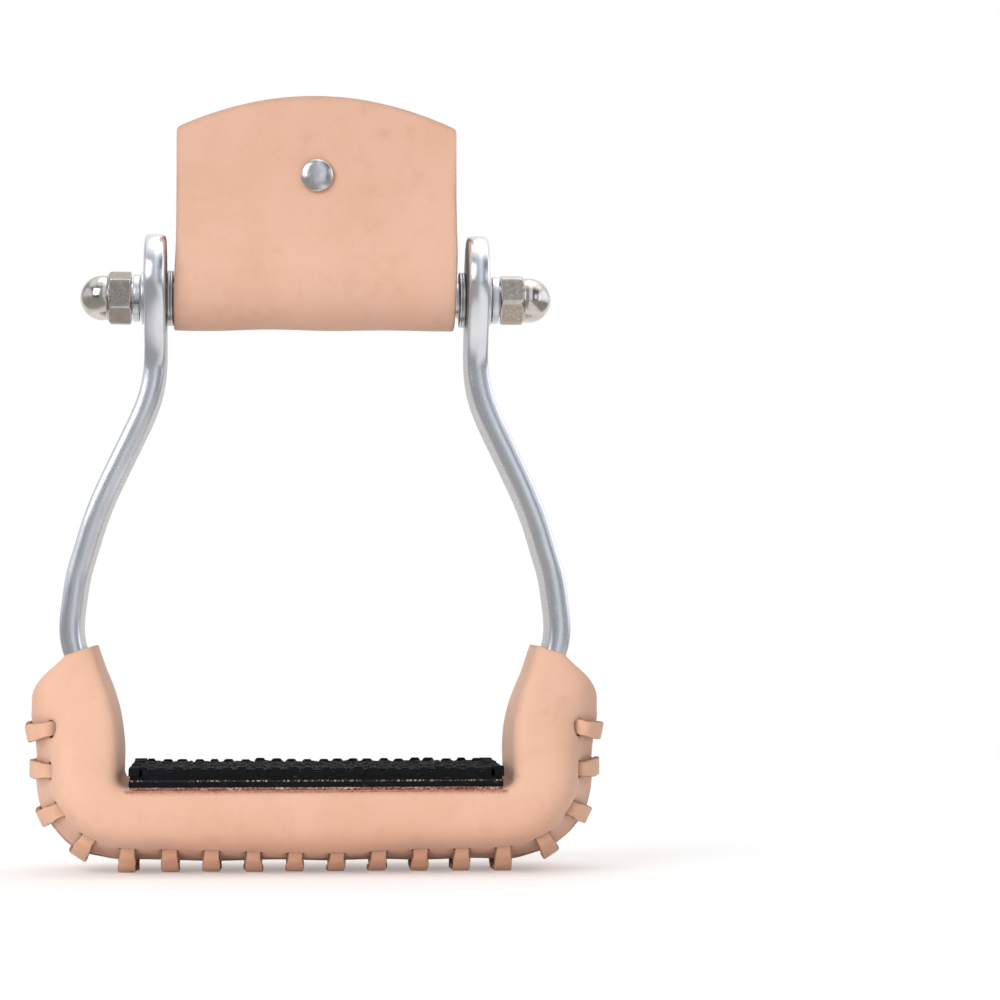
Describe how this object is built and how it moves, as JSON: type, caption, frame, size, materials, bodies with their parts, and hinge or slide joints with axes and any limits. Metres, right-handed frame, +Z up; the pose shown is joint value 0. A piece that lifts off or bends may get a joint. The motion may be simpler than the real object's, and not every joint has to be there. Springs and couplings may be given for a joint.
{
  "type": "barrel racer stirrup",
  "caption": "Riding stirrup: bent aluminium frame with a laced leather foot cover, rough rubber tread and a folded leather neck piece that turns on the bolt between capped nuts.",
  "frame": {"origin": "centre of the bounding box in X and Y, on the floor under the lowest lacing", "axes": "+X across the stirrup along the bolt, -Y to the front, +Z up from the tread to the neck"},
  "size_m": [0.175, 0.06, 0.2333],
  "materials": {
    "frame_aluminium": "polished outer face and edges, brushed inner face",
    "natural_leather": "natural vegetable-tanned, matte, grain side out",
    "lace_leather": "natural flat thong, grain side out, fuzzy flesh side",
    "tread_rubber": "matte black, rough top",
    "tread_ply": "woven cord, cut edge",
    "plated_steel": "bright zinc plating",
    "nickel_nut": "bright nickel plating",
    "nickel_rivet": "nickel plating, softly worn"
  },
  "bodies": {
    "stirrup": {"stirrup_frame": "frame_aluminium", "foot_cover": "natural_leather", "foot_lace": "lace_leather", "tread_backing": "tread_rubber", "tread_ply": "tread_ply", "tread_rubber": "tread_rubber", "bolt_stud": "plated_steel", "spacer_sleeve": "plated_steel", "inner_washer_left": "plated_steel", "inner_washer_right": "plated_steel", "flat_washer_left": "plated_steel", "flat_washer_right": "plated_steel", "lock_washer_left": "plated_steel", "lock_washer_right": "plated_steel", "cap_nut_left": "nickel_nut", "cap_nut_right": "nickel_nut"},
    "neck": {"neck_leather": "natural_leather", "rivet_front": "nickel_rivet", "rivet_back": "nickel_rivet"}
  },
  "joints": [
    {"name": "neck_swing", "type": "hinge", "parent": "stirrup", "child": "neck", "pos_m": [0, -0.0035, 0.172], "axis": [1, 0, 0], "continuous": true}
  ]
}
